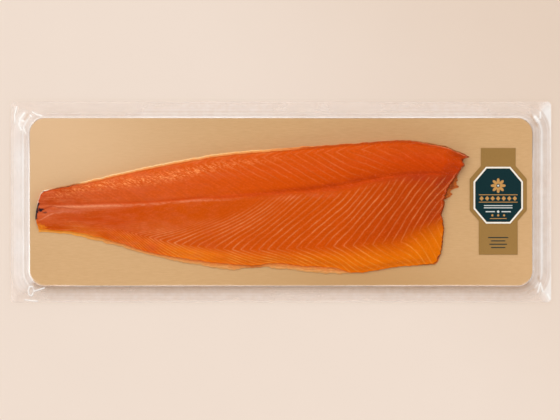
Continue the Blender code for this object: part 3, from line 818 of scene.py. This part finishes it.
film = {
    "columns": 420, "rows": 176, "marginCells": 42, "overBoard": 0.14, "overFish": 0.3, "slope": 4.5,
    "sheet": 0.15, "crestEnd": 1.4, "ridgeHeight": 0.4, "glossInside": 0.3, "glossMargin": 0.6,
    "underInsets": [0, 0, 2, 6, 11, 16, 19, 22, 25, 32, 42, 56, 70, 86],
    # across each side's margin: millimetres out from the board, how milky it is, and how bright; the
    # brightness is painted light and shade, a shadow tone where the board's shadow falls and bright on the
    # folds
    "left": [(-0.4, 0, 0.5), (0, 0.4, 0.8), (0.7, 0.8, 0.95), (1.9, 0.6, 0.45), (3.5, 0.6, 0.55),
             (4.8, 0.5, 0.5), (6.6, 0.5, 0.5), (7.1, 0.6, 0.5), (7.9, 0.9, 1), (8.8, 0.75, 0.55),
             (10.7, 0.65, 0.5), (12, 0.7, 0.56), (18, 0.65, 0.52), (21, 0.5, 0.48), (23, 0.35, 0.45)],
    "right": [(-0.2, 0, 0.5), (1.1, 0.6, 0.5), (2.3, 0.7, 0.33), (7, 0.7, 0.36), (9, 0.65, 0.38),
              (10.2, 0.7, 0.4), (11.1, 0.85, 0.72), (12.1, 0.8, 0.55), (13.4, 0.6, 0.4), (16, 0.6, 0.4),
              (19, 0.6, 0.46), (22, 0.6, 0.46), (22.7, 0.85, 0.75), (23, 0.85, 0.75)],
    "top": [(-0.4, 0, 0.5), (0.2, 0.4, 0.6), (0.9, 0.8, 0.6), (2.1, 0.5, 0.45), (4, 0.4, 0.42),
            (5.2, 0.4, 0.45), (7.5, 0.3, 0.42), (9, 0.3, 0.44), (15, 0.3, 0.44), (18, 0.3, 0.42),
            (20, 0.15, 0.45)],
    "bottom": [(-1.2, 0, 0.5), (-0.6, 0.12, 0.5), (0.4, 0.45, 0.3), (1.6, 0.6, 0.03), (2.8, 0.6, 0.07),
               (4, 0.55, 0.14), (5.2, 0.5, 0.2), (7.5, 0.5, 0.25), (9.9, 0.45, 0.33), (12.3, 0.4, 0.38),
               (17, 0.4, 0.38), (20, 0.2, 0.42)],
    # creases, raised and with a painted highlight, and dents with painted dark shade: half a width, then the
    # places along each
    "creases": [(0.8, (-297, 107.5), (-292, 104.5), (-285.6, 102.8)),
                (0.9, (-316, 113.5), (-318.4, 104), (-318, 95.6)),
                (1.1, (-307, 106), (-312, 99.5), (-313, 92), (-310.5, 86)), (0.8, (-311, 98), (-305.5, 96)),
                (0.7, (-308, 90), (-304.7, 81)), (1.0, (-299.5, 103.6), (-298, 102)),
                (1.6, (303.5, 101.6), (307, 96.8)), (0.8, (310, 107.5), (310, 100.4)),
                (0.8, (-302, -106), (-300.5, -101), (-296.5, -101), (-295.5, -106.5), (-298, -112),
                 (-301, -111), (-302, -106)), (0.8, (-295, -106.4), (-283, -102.8)),
                (0.7, (-306, -117), (-291.6, -118.6)), (0.9, (307, -107.5), (310, -97), (313, -107.5)),
                (1.2, (319, -111), (321.5, -116))],
    "shades": [(1.8, (299, 103), (305, 92)), (1.6, (308, -90), (309, -96)), (1.5, (-303, 104), (-307, 97)),
               (1.5, (302, -104), (296, -108))],
}


def spread(share, half, margin):  # more cells in the margins than over the board
    cells = film["marginCells"]
    total = film["columns"] if half > 200 else film["rows"]
    knots = [0, cells, total - cells, total]
    return np.interp(share * total, knots, [-half, -half + margin, half - margin, half])


def boardGap(x, y):  # how far outside the board's outline a place is, negative inside
    radius = pack["boardCorner"]
    px = np.abs(x) - pack["boardLength"] / 2 + radius
    py = np.abs(y) - pack["boardWidth"] / 2 + radius
    return np.hypot(np.maximum(px, 0), np.maximum(py, 0)) + np.minimum(np.maximum(px, py), 0) - radius


def bagGap(x, y):  # how far inside the bag's edge a place is
    return np.minimum(pack["bagLength"] / 2 - np.abs(x), pack["bagWidth"] / 2 - np.abs(y))


def marginMiddle(x, y):  # the height of the welded margin
    out, inside = boardGap(x, y), bagGap(x, y)
    share = np.clip((out - pack["slopeFoot"]) / np.maximum(out + inside - pack["slopeFoot"], 1), 0, 1)
    inner = rimLift(x, y) + pack["boardBottom"]
    return inner + (pack["marginEdge"] - inner) * share * (2 - share)


def creases(x, y, name):  # how much of a crease lies at each place
    share = np.zeros(x.shape)
    for width, *places in film[name]:
        for (ax, ay), (bx, by) in zip(places, places[1:]):
            length = math.hypot(bx - ax, by - ay)
            t = np.clip(((x - ax) * (bx - ax) + (y - ay) * (by - ay)) / length ** 2, 0, 1)
            away = np.hypot(x - ax - t * (bx - ax), y - ay - t * (by - ay))
            share = np.maximum(share, hump(away, 0, width))
    return share


def sideShares(x, y):  # how much a place belongs to the left, right, top and bottom margins
    px = np.maximum(np.abs(x) - pack["boardLength"] / 2 + pack["boardCorner"], 0.01)
    py = np.maximum(np.abs(y) - pack["boardWidth"] / 2 + pack["boardCorner"], 0.01)
    short = smooth(0.62, 0.38, np.arctan2(py, px) / (math.pi / 2))
    return {"left": short * (x < 0), "right": short * (x >= 0), "top": (1 - short) * (y >= 0),
            "bottom": (1 - short) * (y < 0)}


def marginPlace(x, y):  # how far out from the board a place is, with a slow drift along it
    return boardGap(x, y) + 0.35 * wander(x / 70, y / 70, 51)


def marginTone(x, y):  # how milky the margin is, and its painted light and shade
    out = marginPlace(x, y)
    milk, paintedLightShade = np.zeros(x.shape), np.zeros(x.shape)
    for side, share in sideShares(x, y).items():
        places, milkHere, paintedLightShadeHere = np.array(film[side], float).T
        milk = milk + share * np.interp(out, places, milkHere)
        paintedLightShade = paintedLightShade + share * np.interp(out, places, paintedLightShadeHere)
    patches = 1 + 0.3 * wander(x / 26, y / 26, 55)
    # painted highlight along the creases and painted shade where the shades lie
    crease, dark = creases(x, y, "creases"), creases(x, y, "shades")
    milk = milk * patches
    paintedLightShade = paintedLightShade * (1 - 0.6 * dark)
    return milk + (0.95 - milk) * crease, paintedLightShade + (1.05 - paintedLightShade) * crease


def marginRelief(x, y):  # folds along the margin, creases at the corners and slack waves
    place, shares = marginPlace(x, y), sideShares(x, y)
    fold = shares["left"] * hump(place, 8.3, 0.9) + shares["right"] * hump(place, 10.7, 0.9)
    ridge = film["ridgeHeight"] * (fold + 0.6 * hump(place, 5.0, 0.9) + 0.4 * hump(place, 14.5, 1.1))
    crease = 0.5 * creases(x, y, "creases") - 0.2 * creases(x, y, "shades")
    wave = 0.25 * wander(x / 34, y / 26, 53) + 0.1 * wander(x / 9, y / 9, 54)
    return (ridge + crease + wave) * smooth(1.5, 5, boardGap(x, y)) * smooth(0, 3, bagGap(x, y))


def letDown(heights, steps):  # from row to row the film falls no faster than its slope
    for i in range(1, len(heights)):
        heights[i] = np.maximum(heights[i], heights[i - 1] - film["slope"] * steps[i - 1])


def drapeOver(x, y):  # x and y are grids: the film lies on what is highest, and stretches down from it
    view = bpy.context.evaluated_depsgraph_get()
    solids = [BVHTree.FromObject(piece, view) for piece in (flesh, skinPiece)]
    height = pack["boardTop"] + film["overBoard"] + rimLift(x, y)
    down, above = Vector((0, 0, -1)), 0.1
    inside = (x > -300) & (x < 236) & (np.abs(y) < 92)
    for i, j in zip(*np.nonzero(inside)):
        start = Vector((x[i, j] * mm, y[i, j] * mm, above))
        for solid in solids:
            hit = solid.ray_cast(start, down)[0]
            if hit is not None:
                height[i, j] = max(height[i, j], hit.z / mm + film["overFish"])
    draped = height.copy()
    for sweep in range(2):
        for heights, steps in ((draped, np.diff(x[:, 0])), (draped.T, np.diff(y[0]))):
            letDown(heights, steps)
            letDown(heights[::-1], steps[::-1])
    for sweep in range(4):
        eased = draped.copy()
        eased[1:-1] = (draped[:-2] + 2 * draped[1:-1] + draped[2:]) / 4
        eased[:, 1:-1] = (eased[:, :-2] + 2 * eased[:, 1:-1] + eased[:, 2:]) / 4
        draped = np.maximum(eased, height)
    return draped


def buildFilm():
    piece = addFlatGrid("clearFilm", film["columns"], film["rows"])
    drawUnder(len(film["underInsets"]) - 1)
    u, v, ring = corners(piece)
    ring = np.round(-ring).astype(int)
    column = np.round((u + 1) / 2 * film["columns"]).astype(int)
    row = np.round((v + 1) / 2 * film["rows"]).astype(int)
    halfX, halfY = pack["bagLength"] / 2, pack["bagWidth"] / 2
    x = spread((u + 1) / 2, halfX, halfX - pack["boardLength"] / 2 + 3)
    y = spread((v + 1) / 2, halfY, halfY - pack["boardWidth"] / 2 + 3)
    onTop = ring == 0
    gridX = np.zeros((film["columns"] + 1, film["rows"] + 1))
    gridY = gridX.copy()
    gridX[column[onTop], row[onTop]], gridY[column[onTop], row[onTop]] = x[onTop], y[onTop]
    draped = drapeOver(gridX, gridY)[column, row]

    # the bag's corners are rounded, and the rings under it are drawn in from its edge
    radius = pack["bagCorner"]
    cornerX, cornerY = np.maximum(np.abs(x) - halfX + radius, 0), np.maximum(np.abs(y) - halfY + radius, 0)
    squeeze = np.maximum(cornerX, cornerY) / np.maximum(np.hypot(cornerX, cornerY), 0.001)
    inCorner = (cornerX > 0) & (cornerY > 0)
    x = np.where(inCorner, np.sign(x) * (halfX - radius + cornerX * squeeze), x)
    y = np.where(inCorner, np.sign(y) * (halfY - radius + cornerY * squeeze), y)
    inset = np.array(film["underInsets"])[ring]
    x, y = x * (1 - inset / halfX), y * (1 - inset / halfY)

    out = boardGap(x, y)
    middle, relief = marginMiddle(x, y), marginRelief(x, y)
    crest = pack["boardTop"] + film["overBoard"] + rimLift(x, y)
    fall = smooth(film["crestEnd"], pack["slopeFoot"], out)
    margin = crest + (middle + film["sheet"] - crest) * fall + relief
    topHeight = np.where(out < film["crestEnd"], draped, margin)
    under = rimLift(x, y) + 0.15
    under = under + (middle - film["sheet"] + relief - under) * smooth(0.5, pack["slopeFoot"], out)
    setCorners(piece, x, y, np.where(onTop, topHeight, np.maximum(under, 0.02)))
    milk, paintedLightShade = marginTone(x, y)
    addField(piece, "margin", smooth(-0.5, 1.5, out))
    addField(piece, "milk", np.where(onTop, milk, 0.3 * milk))
    addField(piece, "paintedLightShade", paintedLightShade)
    addField(piece, "outward", out)
    closeUp(piece, 60)
    return piece


filmLook = {"shadeToHighlight": [(0.0, (184, 152, 124)), (0.25, (210, 189, 173)), (0.5, (234, 226, 221)),
                     (1.0, (253, 251, 248))],
            "ribWidth": 1.4, "ribs": 0.2, "shadowShare": 0.12}


def makeFilm():
    material, inputs = newMaterial("clearFilm", Roughness=0.16, IOR=1.5)
    look = filmLook
    margin, milk, paintedLightShade, outward = map(field, ("margin", "milk", "paintedLightShade", "outward"))
    ribs = result("TexNoise", {"W": outward / look["ribWidth"], "Scale": 1.0, "Detail": 1.0}, "Fac",
                  noise_dimensions="1D")
    ribbed = (ribs + mottle(7.0, detail=3.0) - 1.0) * look["ribs"]
    # the margins' painted light and shade: a shadow tone where the board's shadow falls, near white along the
    # folds
    shadeToHighlight = maths("ADD", paintedLightShade, ribbed * margin, clamp=True)
    feed(inputs["Base Color"], colourRamp(shadeToHighlight, look["shadeToHighlight"]))
    fromInside = result("NewGeometry", output="Backfacing")  # the same gloss on both faces of the film
    mirror = result("Fresnel", {"IOR": 1.45 - fromInside * 0.76})
    headOn = 0.032 - margin * 0.032  # over the food it shines at a slant only
    slant = maths("MAXIMUM", mirror - headOn, 0.0)
    gloss = margin * (film["glossMargin"] - film["glossInside"]) + film["glossInside"]
    alpha = maths("ADD", milk, slant * gloss, clamp=True)
    shadowRay = result("LightPath", output="Is Shadow Ray")
    feed(inputs["Alpha"], alpha * (1.0 - shadowRay * (1 - look["shadowShare"])))
    feed(inputs["Metallic"], maths("SUBTRACT", 1.0, margin, clamp=True))
    setBump(inputs, ribs, 0.25, 0.2)
    return material


filmPiece = buildFilm()
dress(filmPiece, makeFilm(), "bag")
print("film made:", len(filmPiece.data.polygons), "faces")


# finishes of the solids that stay

boardLook = {"gold": (209, 167, 117), "light": (219, 179, 131), "dark": (199, 155, 103),
             "glow": (232, 194, 152), "dim": (195, 151, 99)}


def makeGoldCard():
    material, inputs = newMaterial("brushedGoldCard", Specular_IOR_Level=0.25)
    look = boardLook
    placeX, placeY = split(result("TexCoord", output="Object"))[:2]
    # painted light at the tail end's upper corner and faintly at the head end's lower corner, and painted
    # shade along the lower edge
    tailGlow = bell(placeX, -0.3, 0.16) * bell(placeY, 0.1, 0.11) * 0.8
    headGlow = bell(placeX, 0.3, 0.09) * bell(placeY, -0.09, 0.06) * 0.08
    dim = bell(placeX, 0.1, 0.15) * bell(placeY, -0.1, 0.035)
    brushed = mottle(1.1, (9, 1, 1), 4.0)
    colour = blendColour(rise(brushed, 0.25, 0.75), shade(*look["dark"]), shade(*look["light"]))
    colour = layered(look, colour, ("gold", 0.65), ("dim", dim),
                     ("glow", maths("ADD", tailGlow, headGlow, clamp=True)))
    cloudy = mottle(60.0, (2, 1, 1))
    setSurface(inputs, dimmed(colour, cloudy * 0.06 + 0.97), brushed * 0.2 + 0.42, brushed, 0.25, 0.05)
    return material


def makePaper(name, colour, variation, grainSize, roughness, metallic=0.0):
    material, inputs = newMaterial(name, Metallic=metallic, Specular_IOR_Level=0.1)
    grain = mottle(grainSize, detail=4.0)
    lower, upper = (tuple(min(c * (1 + s * variation), 1) for c in shade(*colour)) for s in (-1, 1))
    setSurface(inputs, blendColour(grain, lower, upper), grain * 0.2 + (roughness - 0.1), grain, 0.2, 0.05)
    return material


bronzePaper = makePaper("bronzePaper", (157, 120, 66), 0.12, 1.2, 0.5, 0.2)
creamPaper = makePaper("creamPaper", (247, 240, 228), 0.04, 0.8, 0.6)
greenPaper = makePaper("greenPaper", (8, 44, 48), 0.2, 0.9, 0.55)
goldPrint = makePaper("goldPrint", (197, 147, 84), 0.15, 0.7, 0.45, 0.2)
palePrint = makePaper("palePrint", (214, 220, 216), 0.08, 0.7, 0.55)
for nodeName, finish in (("board", makeGoldCard()), ("label_backing", bronzePaper),
                         ("label_border", creamPaper), ("label_field", greenPaper)):
    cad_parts[nodeName].data.materials.clear()
    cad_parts[nodeName].data.materials.append(finish)
print("solids finished")


# the badge's ornament

badge = {
    "middleX": 259.5, "surface": 3.4, "tabSurface": 2.8, "print": 0.07,
    "rosetteY": 19.5, "petals": 8, "petalReach": 7.6, "petalWidth": 3.6, "hub": 1.6,
    # bars: out from the middle, up, half a length, half a width; discs: out, up, two radii, count of sides
    "goldBars": [(0, 8.6, 23, 0.4), (0, -0.2, 23, 0.4), (0, -19.8, 10, 0.4)],
    "goldDiscs": [*(((step - 3) * 6.6, 4.2, 2.6, 2.9, 4) for step in range(7)),
                  *(((step - 1) * 7, -16, 1.3, 1.3, 16) for step in range(3))],
    "paleBars": [(0, -4.3, 17, 0.5), (0, -7.0, 17, 0.5), (-9.5, -11.6, 5.5, 0.6), (9.5, -11.6, 5.5, 0.6)],
    "paleDiscs": [(0, 19.5, 1.2, 1.2, 12), (0, -11.6, 1.7, 1.9, 4)],
    "darkBars": [(0, -42.5, 12, 0.55), (0, -46.5, 8.5, 0.55), (0, -50.5, 10.5, 0.55), (0, -54.5, 8.5, 0.55)],
    "darkDiscs": [],
}


def flatShape(outline, x, y, turn, size, sides=16):  # a disc or bar at its place on the label
    deselectAll()
    if outline == "bar":
        bpy.ops.mesh.primitive_plane_add(size=2, location=(0, 0, 0))
    else:
        bpy.ops.mesh.primitive_circle_add(vertices=sides, radius=1, fill_type="NGON", location=(0, 0, 0))
    shape = bpy.context.object
    shape.scale = (size[0] * mm, size[1] * mm, 1)
    shape.rotation_euler = (0, 0, turn)
    shape.location = (x * mm, y * mm, 0)
    bpy.ops.object.transform_apply(location=True, rotation=True, scale=True)
    return shape


def layPrint(name, shapes, surface, material):
    deselectAll()
    for shape in shapes:
        shape.select_set(True)
    bpy.context.view_layer.objects.active = shapes[0]
    bpy.ops.object.join()
    piece = bpy.context.object
    piece.name = piece.data.name = name
    bpy.ops.object.mode_set(mode="EDIT")
    bpy.ops.mesh.select_all(action="SELECT")
    bpy.ops.mesh.extrude_region_move(TRANSFORM_OT_translate={"value": (0, 0, badge["print"] * mm)})
    turnOutward()
    x, y, z = corners(piece) / mm
    setCorners(piece, x, y, z + surface + 0.05 + rimLift(x, y))
    dress(piece, material)


def drawn(name):
    shapes = []
    for out, up, half, thick in badge[name + "Bars"]:
        shapes.append(flatShape("bar", badge["middleX"] + out, up, 0, (half, thick)))
    for out, up, wide, high, count in badge[name + "Discs"]:
        shapes.append(flatShape("disc", badge["middleX"] + out, up, 0, (wide, high), count))
    return shapes


def buildBadge():
    gold = drawn("gold")
    reach = badge["hub"] + badge["petalReach"] / 2
    size = (badge["petalReach"] / 2 - 0.3, badge["petalWidth"] / 2)
    for step in range(badge["petals"]):
        turn = 2 * math.pi * step / badge["petals"]
        gold.append(flatShape("disc", badge["middleX"] + reach * math.cos(turn),
                              badge["rosetteY"] + reach * math.sin(turn), turn, size))
    layPrint("badgeGold", gold, badge["surface"], goldPrint)
    layPrint("badgePale", drawn("pale"), badge["surface"], palePrint)
    layPrint("tabBars", drawn("dark"), badge["tabSurface"], greenPaper)


buildBadge()
print("badge made")
